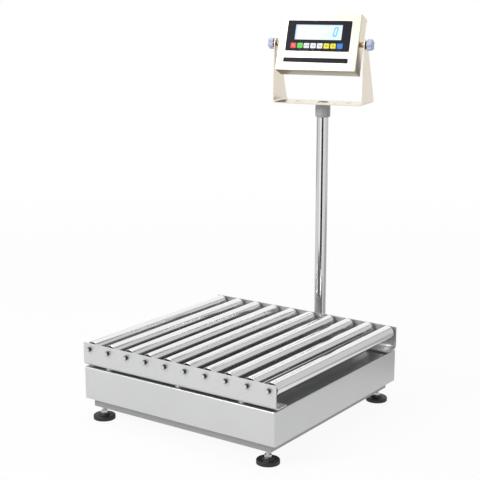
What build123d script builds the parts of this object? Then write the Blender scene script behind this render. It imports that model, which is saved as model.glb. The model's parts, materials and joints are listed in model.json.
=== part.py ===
from build123d import *
import os
from math import cos, radians, sin

os.makedirs("parts", exist_ok=True)

# A bench scale whose platform is a deck of ten free rollers between two rails.
# Millimetres. X runs along the goods' travel, Y from the front rail to the column, Z up.
# The origin is on the floor, below the middle of the platform.

# Platform cover and the rails on it
platform_length = 610.0
platform_width = 606.0
cover_skirt = 88.0
cover_sheet = 1.5
cover_edge_radius = 3.0
rail_overhang = 1.5
rail_height = 62.5
rail_sheet = 3.0
rail_flange = 48.0
rail_bend_radius = 8.0
rail_lift = 4.0
rail_bolt_margin_left = 73.0
rail_bolt_margin_right = 108.0
rail_bolt_inset = 20.0
spacer_diameter = 22.0
end_bolt_margin = 12.5
end_bolt_inset = 26.0
end_spacer_diameter = 18.0

# Rollers
roller_pitch = 63.5
roller_diameter = 38.0
roller_wall = 1.5
roller_lip = 4.0
roller_edge_radius = 1.35
roller_end_gap = 9.0
axle_diameter = 12.0
axle_stand_out = 9.0
axle_drop = 15.8
bearing_length = 12.0
bearing_hub_diameter = 20.0
bearing_hub_stand_out = 4.0

# Base frame, welded from square tube, and what stands on it
frame_height_off_floor = 35.6
frame_inset_x = 20.7
frame_inset_y = 13.5
frame_tube = 40.0
frame_wall = 3.0
beam_width = 80.0
beam_height = 25.0
arm_width = 90.0
arm_height = 20.0
cell_length = 150.0
cell_width = 40.0
cell_height = 40.0
cell_bore = 24.0
cell_bore_spacing = 40.0
cell_slot = 6.0
cell_bolt_margin = 12.5
cell_bolt_spacing = 25.0
cell_seat_thickness = 5.0
cell_seat_length = 50.0
spider_tube = 40.0
spider_height = 30.0
spider_inset_x = 84.3
spider_inset_y = 17.5
spider_vent = 6.0
pad_diameter = 30.0
pad_thickness = 4.0
pad_inset = 22.0
stop_gap = 1.0
stop_inset = 28.0

# Levelling feet
foot_inset_x = 19.0
foot_inset_y = 16.5
foot_diameter = 59.0
foot_rim_height = 10.5
foot_boss_diameter = 32.0
foot_boss_height = 15.0
foot_rim_edge = 1.5
foot_flutes = 24
foot_flute_radius = 1.8
foot_flute_offset = 1.0
foot_hex = 17.0
foot_hex_height = 8.0
foot_stud = 10.0
foot_stud_reach = 20.0

# Column behind the platform
column_stand_off = 95.0
column_diameter = 35.0
column_wall = 1.5
column_top = 803.0
socket_wall = 4.0
socket_height = 90.0
socket_plate = 88.0
socket_plate_thickness = 6.0
socket_bolt_spacing = 64.0
clamp_height = 30.0
clamp_reach = 20.0
clamp_ear = 6.0
clamp_slit = 3.0
clamp_relief = 12.0
cap_diameter = 43.4
cap_overlap = 35.0
cap_crown = 5.0
cap_chamfer = 3.5
neck_diameter = 28.0
neck_bore = 24.0
neck_rim = 0.8
ring_thickness = 1.2
ring_rim = 3.0
ring_depth = 0.8

# Indicator bracket, turned towards the goods' outlet
bracket_turn = 12.0
bracket_side_gap = 12.9
bracket_sheet = 3.0
bracket_bend_radius = 7.0
bracket_front = 52.3
bracket_back = 56.6
ear_radius = 15.4
pivot_forward = 29.3
pivot_height = 165.7
cable_hole_pitch = 76.4
cable_hole_diameter = 16.0
wall_hole_pitch_x = 94.0
wall_hole_pitch_y = 68.0
wall_hole_diameter = 6.0

# Indicator housing
housing_tilt = 20.0
housing_width = 238.2
housing_height = 166.8
housing_depth = 46.0
housing_sheet = 1.5
housing_edge_radius = 2.5
housing_pivot_depth = 21.1
back_screw_margin = 5.5
back_screw_diameter = 4.0
back_screw_length = 12.0
back_head_diameter = 9.0
back_head_height = 6.0
back_post_diameter = 9.0
gland_spread = 60.0
gland_level = -60.0
gland_hex = 19.0
gland_hex_length = 5.0
gland_cap_length = 9.0
gland_thread = 15.0
gland_nut_length = 4.0
gland_bore = 7.0

# Panel on the housing's front, measured from the panel's middle
overlay_width = 190.0
overlay_height = 89.0
overlay_centre = (-1.2, 17.2)
overlay_corner = 3.0
overlay_thickness = 0.8
window_width = 138.7
window_height = 43.6
window_centre = (-2.2, 27.8)
window_thickness = 0.6
strip_width = 192.0
strip_height = 13.4
strip_centre = (-2.0, -53.4)
key_count = 8
key_pitch = 19.7
key_width = 16.5
key_height = 15.0
key_thickness = 1.2
key_corner = 2.0
key_edge = 0.4
key_clearance = 0.15
key_row = (-3.25, -11.6)
key_travel = 0.35

# Tilt knobs and their pivots
pivot_diameter = 8.0
bush_diameter = 14.0
bush_nut_diameter = 17.0
knob_diameter = 33.0
knob_length = 15.0
knob_lobe_count = 5
knob_lobe_radius = 6.5
knob_valley_diameter = 25.0
knob_rest_angle = 7.0
knob_hole_depth = 10.0
knob_edge = 2.0
washer_diameter = 20.5
washer_thickness = 4.5
bush_thread = 10.0
bush_nut_length = 5.0

# Clearances
running_clearance = 0.05
bolt_clearance = 0.3
seat_clearance = 0.1
m8 = 8.0
m8_head = 13.0
m8_head_height = 5.3
m8_nut_height = 6.5
m8_flange = 17.0
m6 = 6.0
m6_head = 10.0
m6_head_height = 4.0
m6_nut_height = 5.0
m6_flange = 18.0
flange_height = 1.2
bolt_tail = 2.0
head_access = 1.5

# Levels above the floor
frame_top = frame_height_off_floor + frame_tube
beam_top = frame_height_off_floor + beam_height
cell_bottom = beam_top + cell_seat_thickness
cell_top = cell_bottom + cell_height
spider_bottom = cell_top + cell_seat_thickness
spider_top = spider_bottom + spider_height
cover_underside = spider_top + pad_thickness
cover_top = cover_underside + cover_sheet
rail_bottom = cover_top + rail_lift
rail_top = rail_bottom + rail_height
axle_level = rail_top - axle_drop
arm_top = frame_height_off_floor + arm_height
column_bottom = arm_top + socket_plate_thickness
bracket_bottom = column_top + cap_crown
bracket_top = bracket_bottom + bracket_sheet

# Places along X and Y
roller_count = round(platform_length / roller_pitch)
frame_length = platform_length - 2 * frame_inset_x
frame_width = platform_width - 2 * frame_inset_y
spider_length = frame_length - 2 * spider_inset_x
spider_width = frame_width - 2 * spider_inset_y
foot_spacing_x = frame_length - 2 * foot_inset_x
foot_spacing_y = frame_width - 2 * foot_inset_y
rail_face = platform_width / 2
roller_half_length = rail_face - rail_sheet - roller_end_gap
column_y = platform_width / 2 + column_stand_off
bracket_width = housing_width + 2 * (bracket_side_gap + bracket_sheet)
rail_bolt_y = rail_face - rail_bolt_inset
end_bolt_y = rail_face - end_bolt_inset
cell_bolt_x = cell_length / 2 - cell_bolt_margin - cell_bolt_spacing / 2

# Planes that the indicator's pieces are drawn on
turn = radians(bracket_turn)
tilt = radians(housing_tilt)
across = Vector(cos(turn), sin(turn), 0)
forward = Vector(sin(turn), -cos(turn), 0)
facing = forward * cos(tilt) + Vector(0, 0, sin(tilt))
column_axis = Plane(origin=(0, column_y, 0), x_dir=across, z_dir=(0, 0, 1))
pivot_point = Vector(0, column_y, bracket_top + pivot_height) + forward * pivot_forward
panel = Plane(origin=pivot_point + facing * housing_pivot_depth, x_dir=across, z_dir=facing)
pivot_plane = Plane(origin=pivot_point, x_dir=facing, z_dir=across)


def save(piece, name):
    piece.part.label = name
    export_step(piece.part, f"parts/{name}.step")


def bolt_positions():
    """Places of the three larger bolts along each rail, seen from above."""
    left = rail_bolt_margin_left - platform_length / 2
    right = platform_length / 2 - rail_bolt_margin_right
    return Locations(*[(x, way * rail_bolt_y) for x in (left, 0, right) for way in (-1, 1)])


def end_bolt_positions():
    """Places of the smaller bolts, one near each end of each rail."""
    return GridLocations(platform_length - 2 * end_bolt_margin, 2 * end_bolt_y, 2, 2)


def cell_bolt_grid():
    """Places of the four bolts at one end of the load cell, about that end's middle."""
    return GridLocations(cell_bolt_spacing, cell_bolt_spacing, 2, 2)


def back_screw_positions():
    """Places of the four screws of the indicator's back, about the panel's middle."""
    return GridLocations(housing_width - 2 * back_screw_margin, housing_height - 2 * back_screw_margin, 2, 2)


def stop_positions():
    """Places of the overload stops, under the ends of the spider's arms."""
    stop_x = spider_length - spider_tube
    return GridLocations(stop_x, frame_width - 2 * stop_inset, 2, 2)


# Platform cover: a pan of folded sheet, open below, that hangs over the frame
with BuildPart() as cover:
    with BuildSketch(Plane.XY.offset(cover_top - cover_skirt)):
        Rectangle(platform_length, platform_width)
    extrude(amount=cover_skirt)
    fillet(cover.edges().filter_by(Axis.Z), cover_edge_radius)
    fillet(cover.faces().sort_by(Axis.Z)[-1].edges(), cover_edge_radius)
    offset(amount=-cover_sheet, openings=cover.faces().sort_by(Axis.Z)[0])
    with BuildSketch(Plane.XY.offset(cover_top)):
        with bolt_positions():
            Circle(m8 / 2 + bolt_clearance)
        with end_bolt_positions():
            Circle(m6 / 2 + bolt_clearance)
    extrude(amount=-cover_skirt / 2, mode=Mode.SUBTRACT)
save(cover, "platform_cover")


def build_rail(side):
    """One rail, folded to an L; side is -1 at the front and 1 at the rear."""
    with BuildPart() as rail:
        with BuildSketch(Plane.YZ.offset(-platform_length / 2 - rail_overhang)):
            with BuildLine():
                FilletPolyline(
                    (side * rail_face, rail_top),
                    (side * rail_face, rail_bottom),
                    (side * (rail_face - rail_flange), rail_bottom),
                    radius=rail_bend_radius + rail_sheet,
                )
                offset(amount=rail_sheet, side=Side.LEFT if side < 0 else Side.RIGHT)
            make_face()
        extrude(amount=platform_length + 2 * rail_overhang)
        with BuildSketch(Plane.XZ):
            with Locations((0, axle_level)), GridLocations(roller_pitch, 1, roller_count, 1):
                Circle(axle_diameter / 2 + bolt_clearance)
        extrude(amount=rail_face + rail_sheet, both=True, mode=Mode.SUBTRACT)
        with BuildSketch(Plane.XY.offset(rail_bottom - rail_sheet)):
            with bolt_positions():
                Circle(m8 / 2 + bolt_clearance)
            with end_bolt_positions():
                Circle(m6 / 2 + bolt_clearance)
        extrude(amount=3 * rail_sheet, mode=Mode.SUBTRACT)
    return rail


save(build_rail(-1), "front_rail")
save(build_rail(1), "rear_rail")

with BuildPart() as spacers:
    with BuildSketch(Plane.XY.offset(cover_top)):
        with bolt_positions():
            Circle(spacer_diameter / 2)
            Circle(m8 / 2 + bolt_clearance, mode=Mode.SUBTRACT)
        with end_bolt_positions():
            Circle(end_spacer_diameter / 2)
            Circle(m6 / 2 + bolt_clearance, mode=Mode.SUBTRACT)
    extrude(amount=rail_lift)
save(spacers, "rail_spacers")

# Rail bolts: flanged hexagon heads on the rails' flanges, nuts under the cover
with BuildPart() as rail_bolts:
    large = (bolt_positions, m8, m8_flange, m8_head, m8_head_height, m8_nut_height)
    small = (end_bolt_positions, m6, m6_flange, m6_head, m6_head_height, m6_nut_height)
    for places, thread, flange, head, head_height, nut_height in (large, small):
        seat = Plane.XY.offset(rail_bottom + rail_sheet)
        with BuildSketch(seat):
            with places():
                Circle(flange / 2)
        extrude(amount=flange_height)
        with BuildSketch(seat):
            with places():
                RegularPolygon(head / 2, 6, major_radius=False)
        extrude(amount=head_height)
        with BuildSketch(seat):
            with places():
                Circle(thread / 2)
        extrude(amount=-(rail_sheet + rail_lift + cover_sheet + nut_height + bolt_tail))
        with BuildSketch(Plane.XY.offset(cover_underside)):
            with places():
                RegularPolygon(head / 2, 6, major_radius=False)
                Circle(thread / 2 + running_clearance, mode=Mode.SUBTRACT)
        extrude(amount=-nut_height)
save(rail_bolts, "rail_bolts")

with BuildPart() as axles:
    with BuildSketch(Plane.XZ):
        with Locations((0, axle_level)), GridLocations(roller_pitch, 1, roller_count, 1):
            Circle(axle_diameter / 2)
    extrude(amount=rail_face + axle_stand_out, both=True)
    chamfer(axles.edges().filter_by(GeomType.CIRCLE), 1.0)
save(axles, "roller_axles")


def build_roller(x):
    """Tube with its ends curled in over the bearings, on the axle at x."""
    middle = Plane(origin=(x, 0, axle_level), x_dir=(0, 1, 0), z_dir=(1, 0, 0))
    radius = roller_diameter / 2
    with BuildPart() as tube:
        with BuildSketch(middle):
            with Locations((0, radius - roller_wall / 2)):
                Rectangle(2 * roller_half_length, roller_wall)
            lip_place = roller_half_length - roller_wall / 2
            with Locations((-lip_place, radius - roller_lip / 2), (lip_place, radius - roller_lip / 2)):
                Rectangle(roller_wall, roller_lip)
        revolve(axis=Axis((x, 0, axle_level), (0, 1, 0)))
        rims = tube.edges().filter_by(GeomType.CIRCLE).group_by(SortBy.RADIUS)[-1]
        fillet(rims, roller_edge_radius)
    return tube


def build_bearings(x):
    """Bearing in each end of the roller at x, with a hub that keeps it off the rail."""
    middle = Plane(origin=(x, 0, axle_level), x_dir=(0, 1, 0), z_dir=(1, 0, 0))
    bore = axle_diameter / 2 + running_clearance
    outside = roller_diameter / 2 - roller_wall
    hub = bearing_hub_diameter / 2
    outer_face = roller_half_length - roller_wall
    with BuildPart() as bearings:
        with BuildSketch(middle):
            with Locations((outer_face - bearing_length / 2, (bore + outside) / 2)):
                Rectangle(bearing_length, outside - bore)
            hub_length = roller_wall + bearing_hub_stand_out
            with Locations((outer_face + hub_length / 2, (bore + hub) / 2)):
                Rectangle(hub_length, hub - bore)
            mirror(about=Plane.YZ)
        revolve(axis=Axis((x, 0, axle_level), (0, 1, 0)))
    return bearings


for place in range(roller_count):
    roller_x = (place - (roller_count - 1) / 2) * roller_pitch
    save(build_roller(roller_x), f"roller_tube_{place + 1:02d}")
    save(build_bearings(roller_x), f"roller_bearings_{place + 1:02d}")

# Base frame: a welded ring of square tube, a beam across it for the load cell,
# an arm at the back for the column and a threaded boss above each foot
with BuildPart() as frame:
    with BuildSketch(Plane.XY.offset(frame_height_off_floor)):
        Rectangle(frame_length, frame_width)
        Rectangle(frame_length - 2 * frame_tube, frame_width - 2 * frame_tube, mode=Mode.SUBTRACT)
    extrude(amount=frame_tube)
    with BuildSketch(Plane.XY.offset(frame_height_off_floor)):
        Rectangle(frame_length - 2 * frame_tube, beam_width)
    extrude(amount=beam_height)
    arm_length = column_y + arm_width / 2 - frame_width / 2
    with BuildSketch(Plane.XY.offset(frame_height_off_floor)):
        with Locations((0, frame_width / 2 + arm_length / 2)):
            Rectangle(arm_width, arm_length)
    extrude(amount=arm_height)
    # The tubes' hollows
    with BuildSketch(Plane.XY.offset(frame_height_off_floor + frame_wall)):
        Rectangle(frame_length - 2 * frame_wall, frame_width - 2 * frame_wall)
        inner_length = frame_length - 2 * frame_tube + 2 * frame_wall
        Rectangle(inner_length, frame_width - 2 * frame_tube + 2 * frame_wall, mode=Mode.SUBTRACT)
    extrude(amount=frame_tube - 2 * frame_wall, mode=Mode.SUBTRACT)
    with BuildSketch(Plane.XY.offset(frame_height_off_floor + frame_wall)):
        Rectangle(frame_length - 2 * frame_tube, beam_width - 2 * frame_wall)
    extrude(amount=beam_height - 2 * frame_wall, mode=Mode.SUBTRACT)
    with BuildSketch(Plane.XY.offset(frame_height_off_floor + frame_wall)):
        with Locations((0, frame_width / 2 + arm_length / 2)):
            Rectangle(arm_width - 2 * frame_wall, arm_length)
    extrude(amount=arm_height - 2 * frame_wall, mode=Mode.SUBTRACT)
    # Bosses for the feet, with their bores
    with BuildSketch(Plane.XY.offset(frame_height_off_floor)):
        with GridLocations(foot_spacing_x, foot_spacing_y, 2, 2):
            Circle(foot_stud)
    extrude(amount=frame_tube)
    with BuildSketch(Plane.XY.offset(frame_height_off_floor)):
        with GridLocations(foot_spacing_x, foot_spacing_y, 2, 2):
            Circle(foot_stud / 2 + running_clearance)
    extrude(amount=frame_tube, mode=Mode.SUBTRACT)
    # Load cell bolts: clearance above, and holes below that the heads go in through
    with BuildSketch(Plane.XY.offset(beam_top)):
        with Locations((-cell_bolt_x, 0)), cell_bolt_grid():
            Circle(m8 / 2 + bolt_clearance)
    extrude(amount=-beam_height / 2, mode=Mode.SUBTRACT)
    with BuildSketch(Plane.XY.offset(frame_height_off_floor)):
        with Locations((-cell_bolt_x, 0)), cell_bolt_grid():
            Circle(m8_head / 2 + head_access)
    extrude(amount=beam_height / 2, mode=Mode.SUBTRACT)
    # Overload stops on the front and rear tubes, and the socket's bolts through the arm
    with BuildSketch(Plane.XY.offset(frame_top)):
        with stop_positions():
            Circle(m8 / 2 + bolt_clearance)
    extrude(amount=-frame_wall, mode=Mode.SUBTRACT)
    with BuildSketch(Plane.XY.offset(frame_height_off_floor)):
        with Locations((0, column_y)), GridLocations(socket_bolt_spacing, socket_bolt_spacing, 2, 2):
            Circle(m8 / 2 + bolt_clearance)
    extrude(amount=arm_height, mode=Mode.SUBTRACT)
save(frame, "base_frame")

# Load cell: a bar with two bores joined by a slot, which leave thin flexures above and below
with BuildPart() as cell:
    with BuildSketch(Plane.XZ.offset(-cell_width / 2)):
        with Locations((0, (cell_bottom + cell_top) / 2)):
            Rectangle(cell_length, cell_height)
            with GridLocations(cell_bore_spacing, 1, 2, 1):
                Circle(cell_bore / 2, mode=Mode.SUBTRACT)
            Rectangle(cell_bore_spacing, cell_slot, mode=Mode.SUBTRACT)
    extrude(amount=cell_width)
    with BuildSketch(Plane.XY.offset(cell_bottom)):
        with GridLocations(2 * cell_bolt_x, 1, 2, 1), cell_bolt_grid():
            Circle(m8 / 2 + running_clearance)
    extrude(amount=cell_height, mode=Mode.SUBTRACT)
save(cell, "load_cell")

# Plates that hold the load cell off the beam and the spider off the load cell
with BuildPart() as cell_seats:
    for end, level in ((-1, beam_top), (1, cell_top)):
        with BuildSketch(Plane.XY.offset(level)):
            with Locations((end * cell_bolt_x, 0)):
                Rectangle(cell_seat_length, cell_width)
                with cell_bolt_grid():
                    Circle(m8 / 2 + bolt_clearance, mode=Mode.SUBTRACT)
        extrude(amount=cell_seat_thickness)
save(cell_seats, "load_cell_seats")

with BuildPart() as cell_bolts:
    grip = frame_wall + cell_seat_thickness + cell_height * 0.6
    for end, head_face, way in ((-1, beam_top - frame_wall, 1), (1, spider_bottom + frame_wall, -1)):
        with BuildSketch(Plane.XY.offset(head_face)):
            with Locations((end * cell_bolt_x, 0)), cell_bolt_grid():
                RegularPolygon(m8_head / 2, 6, major_radius=False)
        extrude(amount=-way * m8_head_height)
        with BuildSketch(Plane.XY.offset(head_face)):
            with Locations((end * cell_bolt_x, 0)), cell_bolt_grid():
                Circle(m8 / 2)
        extrude(amount=way * grip)
save(cell_bolts, "load_cell_bolts")

# Spider: the frame on the load cell's live end that carries the cover
with BuildPart() as spider:
    arm_x = spider_length / 2 - spider_tube / 2
    with BuildSketch(Plane.XY.offset(spider_bottom)):
        Rectangle(spider_length, beam_width)
        with GridLocations(2 * arm_x, 1, 2, 1):
            Rectangle(spider_tube, spider_width)
    extrude(amount=spider_height)
    with BuildSketch(Plane.XY.offset(spider_bottom + frame_wall)):
        Rectangle(spider_length - 2 * spider_tube, beam_width - 2 * frame_wall)
        with GridLocations(2 * arm_x, 1, 2, 1):
            Rectangle(spider_tube - 2 * frame_wall, spider_width - 2 * frame_wall)
    extrude(amount=spider_height - 2 * frame_wall, mode=Mode.SUBTRACT)
    # Vents into the closed tubes
    with BuildSketch(Plane.XY.offset(spider_bottom)):
        with GridLocations(2 * arm_x, spider_width / 2, 2, 2):
            Circle(spider_vent / 2)
    extrude(amount=frame_wall, mode=Mode.SUBTRACT)
    with BuildSketch(Plane.XY.offset(spider_bottom)):
        with Locations((cell_bolt_x, 0)), cell_bolt_grid():
            Circle(m8 / 2 + bolt_clearance)
    extrude(amount=spider_height / 2, mode=Mode.SUBTRACT)
    with BuildSketch(Plane.XY.offset(spider_top)):
        with Locations((cell_bolt_x, 0)), cell_bolt_grid():
            Circle(m8_head / 2 + head_access)
    extrude(amount=-spider_height / 2, mode=Mode.SUBTRACT)
save(spider, "spider_frame")

with BuildPart() as pads:
    with BuildSketch(Plane.XY.offset(spider_top)):
        with GridLocations(2 * arm_x, spider_width - 2 * pad_inset, 2, 2):
            Circle(pad_diameter / 2)
    extrude(amount=pad_thickness)
save(pads, "platter_pads")

# Overload stops: bolts with their heads just under the spider's arms
with BuildPart() as stops:
    head_bottom = spider_bottom - stop_gap - m8_head_height
    with BuildSketch(Plane.XY.offset(head_bottom)):
        with stop_positions():
            RegularPolygon(m8_head / 2, 6, major_radius=False)
    extrude(amount=m8_head_height)
    with BuildSketch(Plane.XY.offset(head_bottom)):
        with stop_positions():
            Circle(m8 / 2)
    extrude(amount=frame_top - frame_wall - head_bottom)
    with BuildSketch(Plane.XY.offset(frame_top)):
        with stop_positions():
            RegularPolygon(m8_head / 2, 6, major_radius=False)
            Circle(m8 / 2 + running_clearance, mode=Mode.SUBTRACT)
    extrude(amount=m8_nut_height)
save(stops, "overload_stops")


def build_foot(side_x, side_y):
    """Levelling foot: moulded pad with a fluted rim, hexagon and threaded stud."""
    place = (side_x * foot_spacing_x / 2, side_y * foot_spacing_y / 2)
    with BuildPart() as foot:
        with BuildSketch(Plane.XY):
            with Locations(place):
                Circle(foot_diameter / 2)
        extrude(amount=foot_rim_height)
        chamfer(foot.faces().sort_by(Axis.Z)[-1].edges(), foot_rim_edge)
        with BuildSketch(Plane.XY):
            with Locations(place), PolarLocations(foot_diameter / 2 + foot_flute_offset, foot_flutes):
                Circle(foot_flute_radius)
        extrude(amount=foot_rim_height, mode=Mode.SUBTRACT)
        with BuildSketch(Plane.XY.offset(foot_rim_height)):
            with Locations(place):
                Circle(foot_boss_diameter / 2)
        extrude(amount=foot_boss_height - foot_rim_height, taper=20)
        with BuildSketch(Plane.XY.offset(foot_boss_height)):
            with Locations(place):
                RegularPolygon(foot_hex / 2, 6, major_radius=False)
        extrude(amount=foot_hex_height)
        with BuildSketch(Plane.XY.offset(foot_boss_height + foot_hex_height)):
            with Locations(place):
                Circle(foot_stud / 2)
        stud_top = frame_height_off_floor + foot_stud_reach
        extrude(amount=stud_top - foot_boss_height - foot_hex_height)
    return foot


for side_y, end_name in ((-1, "front"), (1, "rear")):
    for side_x, side_name in ((-1, "left"), (1, "right")):
        save(build_foot(side_x, side_y), f"levelling_foot_{end_name}_{side_name}")

# Socket that clamps the column, on a plate bolted to the arm
with BuildPart() as socket:
    socket_radius = column_diameter / 2 + socket_wall
    with BuildSketch(Plane.XY.offset(arm_top)):
        with Locations((0, column_y)):
            Rectangle(socket_plate, socket_plate)
    extrude(amount=socket_plate_thickness)
    with BuildSketch(Plane.XY.offset(column_bottom)):
        with Locations((0, column_y)):
            Circle(socket_radius)
    extrude(amount=socket_height)
    # Two ears at the back that the clamp bolt draws together across the slit
    socket_top = column_bottom + socket_height
    clamp_level = socket_top - clamp_height / 2
    with BuildSketch(Plane.YZ):
        with Locations((column_y + column_diameter / 2 + clamp_reach / 2, clamp_level)):
            Rectangle(clamp_reach, clamp_height)
    extrude(amount=clamp_slit / 2 + clamp_ear, both=True)
    with BuildSketch(Plane.XY.offset(column_bottom)):
        with Locations((0, column_y)):
            Circle(column_diameter / 2 + seat_clearance)
    extrude(amount=socket_height, mode=Mode.SUBTRACT)
    with BuildSketch(Plane.XY.offset(arm_top)):
        with Locations((0, column_y)):
            with GridLocations(socket_bolt_spacing, socket_bolt_spacing, 2, 2):
                Circle(m8 / 2 + bolt_clearance)
            Circle(cable_hole_diameter / 2)
    extrude(amount=socket_plate_thickness, mode=Mode.SUBTRACT)
    with BuildSketch(Plane.YZ):
        with Locations((column_y + column_diameter / 2 + clamp_reach / 2, socket_top)):
            Rectangle(clamp_reach + 2 * clamp_slit, 2 * (clamp_height + clamp_relief))
    extrude(amount=clamp_slit / 2, both=True, mode=Mode.SUBTRACT)
    clamp_bolt_y = column_y + socket_radius + (clamp_reach - socket_wall) / 2
    with BuildSketch(Plane.YZ):
        with Locations((clamp_bolt_y, clamp_level)):
            Circle(m8 / 2 + bolt_clearance)
    extrude(amount=clamp_slit + clamp_ear, both=True, mode=Mode.SUBTRACT)
save(socket, "column_socket")

with BuildPart() as socket_bolts:
    with BuildSketch(Plane.XY.offset(column_bottom)):
        with Locations((0, column_y)), GridLocations(socket_bolt_spacing, socket_bolt_spacing, 2, 2):
            RegularPolygon(m8_head / 2, 6, major_radius=False)
    extrude(amount=m8_head_height)
    with BuildSketch(Plane.XY.offset(column_bottom)):
        with Locations((0, column_y)), GridLocations(socket_bolt_spacing, socket_bolt_spacing, 2, 2):
            Circle(m8 / 2)
    extrude(amount=-(socket_plate_thickness + arm_height + m8_nut_height + bolt_tail))
    with BuildSketch(Plane.XY.offset(frame_height_off_floor)):
        with Locations((0, column_y)), GridLocations(socket_bolt_spacing, socket_bolt_spacing, 2, 2):
            RegularPolygon(m8_head / 2, 6, major_radius=False)
            Circle(m8 / 2 + running_clearance, mode=Mode.SUBTRACT)
    extrude(amount=-m8_nut_height)
    # Clamp bolt across the slit, with its nut
    clamp_face = clamp_slit / 2 + clamp_ear
    with BuildSketch(Plane.YZ.offset(clamp_face)):
        with Locations((clamp_bolt_y, clamp_level)):
            RegularPolygon(m8_head / 2, 6, major_radius=False)
    extrude(amount=m8_head_height)
    with BuildSketch(Plane.YZ.offset(clamp_face)):
        with Locations((clamp_bolt_y, clamp_level)):
            Circle(m8 / 2)
    extrude(amount=-(2 * clamp_face + m8_nut_height + bolt_tail))
    with BuildSketch(Plane.YZ.offset(-clamp_face)):
        with Locations((clamp_bolt_y, clamp_level)):
            RegularPolygon(m8_head / 2, 6, major_radius=False)
            Circle(m8 / 2 + running_clearance, mode=Mode.SUBTRACT)
    extrude(amount=-m8_nut_height)
save(socket_bolts, "column_socket_bolts")

with BuildPart() as column:
    with BuildSketch(Plane.XY.offset(column_bottom)):
        with Locations((0, column_y)):
            Circle(column_diameter / 2)
            Circle(column_diameter / 2 - column_wall, mode=Mode.SUBTRACT)
    extrude(amount=column_top - column_bottom)
save(column, "column_tube")

# Cap on the column, with a hollow neck that the bracket turns on
neck_top = bracket_top + ring_thickness + seat_clearance + neck_rim
with BuildPart() as cap:
    with BuildSketch(Plane.XY.offset(column_top - cap_overlap)):
        with Locations((0, column_y)):
            Circle(cap_diameter / 2)
    extrude(amount=cap_overlap + cap_crown)
    chamfer(cap.edges().sort_by(Axis.Z)[0], cap_chamfer - 1, cap_chamfer)
    with BuildSketch(Plane.XY.offset(bracket_bottom)):
        with Locations((0, column_y)):
            Circle(neck_diameter / 2)
    extrude(amount=neck_top - bracket_bottom)
    with BuildSketch(Plane.XY.offset(column_top - cap_overlap)):
        with Locations((0, column_y)):
            Circle(column_diameter / 2 + seat_clearance)
    extrude(amount=cap_overlap, mode=Mode.SUBTRACT)
    with BuildSketch(Plane.XY.offset(column_top)):
        with Locations((0, column_y)):
            Circle(neck_bore / 2)
    extrude(amount=neck_top - column_top, mode=Mode.SUBTRACT)
    # Groove for the snap ring
    with BuildSketch(Plane.XY.offset(bracket_top + seat_clearance / 2)):
        with Locations((0, column_y)):
            Circle(neck_diameter / 2)
            Circle(neck_diameter / 2 - ring_depth, mode=Mode.SUBTRACT)
    extrude(amount=ring_thickness + seat_clearance, mode=Mode.SUBTRACT)
save(cap, "column_cap")

# Snap ring in the neck's groove, open at one side
with BuildPart() as snap_ring:
    with BuildSketch(column_axis.offset(bracket_top + seat_clearance)):
        Circle(neck_diameter / 2 + ring_rim)
        Circle(neck_diameter / 2 - ring_depth + running_clearance, mode=Mode.SUBTRACT)
        with Locations((0, neck_diameter / 2)):
            Rectangle(neck_diameter / 4, neck_diameter / 2, mode=Mode.SUBTRACT)
    extrude(amount=ring_thickness)
save(snap_ring, "bracket_snap_ring")

# Indicator bracket: one sheet folded to a U, its ears tapering to a rounded top
with BuildPart() as bracket:
    half_width = bracket_width / 2
    ear_top = bracket_top + pivot_height + ear_radius
    front_edge = bracket_front
    front_plane = Plane(origin=(0, column_y, 0), x_dir=across, z_dir=forward)
    with BuildSketch(front_plane.offset(front_edge)):
        with BuildLine():
            FilletPolyline(
                (-half_width, ear_top),
                (-half_width, bracket_bottom),
                (half_width, bracket_bottom),
                (half_width, ear_top),
                radius=bracket_bend_radius + bracket_sheet,
            )
            offset(amount=bracket_sheet, side=Side.LEFT)
        make_face()
    extrude(amount=-(front_edge + bracket_back))
    side_plane = Plane(origin=(0, column_y, 0), x_dir=-forward, z_dir=across)
    with BuildSketch(side_plane):
        with Locations((-pivot_forward, bracket_top + pivot_height)):
            Circle(ear_radius)
        with Locations(((bracket_back - front_edge) / 2, bracket_bottom + bracket_sheet / 2)):
            Rectangle(front_edge + bracket_back, bracket_sheet)
        make_hull()
    extrude(amount=half_width + 1, both=True, mode=Mode.INTERSECT)
    with BuildSketch(pivot_plane):
        Circle(pivot_diameter / 2 + running_clearance)
    extrude(amount=half_width + 1, both=True, mode=Mode.SUBTRACT)
    with BuildSketch(column_axis.offset(bracket_bottom)):
        Circle(neck_diameter / 2 + running_clearance)
        with GridLocations(2 * cable_hole_pitch, 1, 2, 1):
            Circle(cable_hole_diameter / 2)
        with GridLocations(wall_hole_pitch_x, wall_hole_pitch_y, 2, 2):
            Circle(wall_hole_diameter / 2)
    extrude(amount=bracket_sheet, mode=Mode.SUBTRACT)
save(bracket, "indicator_bracket")

# Indicator housing: folded front shell, open at the back, with a post for each back screw
depth_axis = Axis(panel.origin, facing)
with BuildPart() as housing:
    with BuildSketch(panel):
        Rectangle(housing_width, housing_height)
    extrude(amount=-housing_depth)
    fillet(housing.edges().filter_by(depth_axis), housing_edge_radius)
    fillet(housing.faces().sort_by(depth_axis)[-1].edges(), housing_edge_radius)
    offset(amount=-housing_sheet, openings=housing.faces().sort_by(depth_axis)[0])
    with BuildSketch(panel.offset(-housing_depth)):
        with back_screw_positions():
            Circle(back_post_diameter / 2)
    extrude(amount=housing_depth - housing_sheet)
    with BuildSketch(panel.offset(-housing_depth)):
        with back_screw_positions():
            Circle(back_screw_diameter / 2 + running_clearance)
    extrude(amount=back_screw_length, mode=Mode.SUBTRACT)
    with BuildSketch(pivot_plane):
        Circle(bush_thread / 2 + seat_clearance)
    extrude(amount=housing_width, both=True, mode=Mode.SUBTRACT)
save(housing, "housing_shell")

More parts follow.
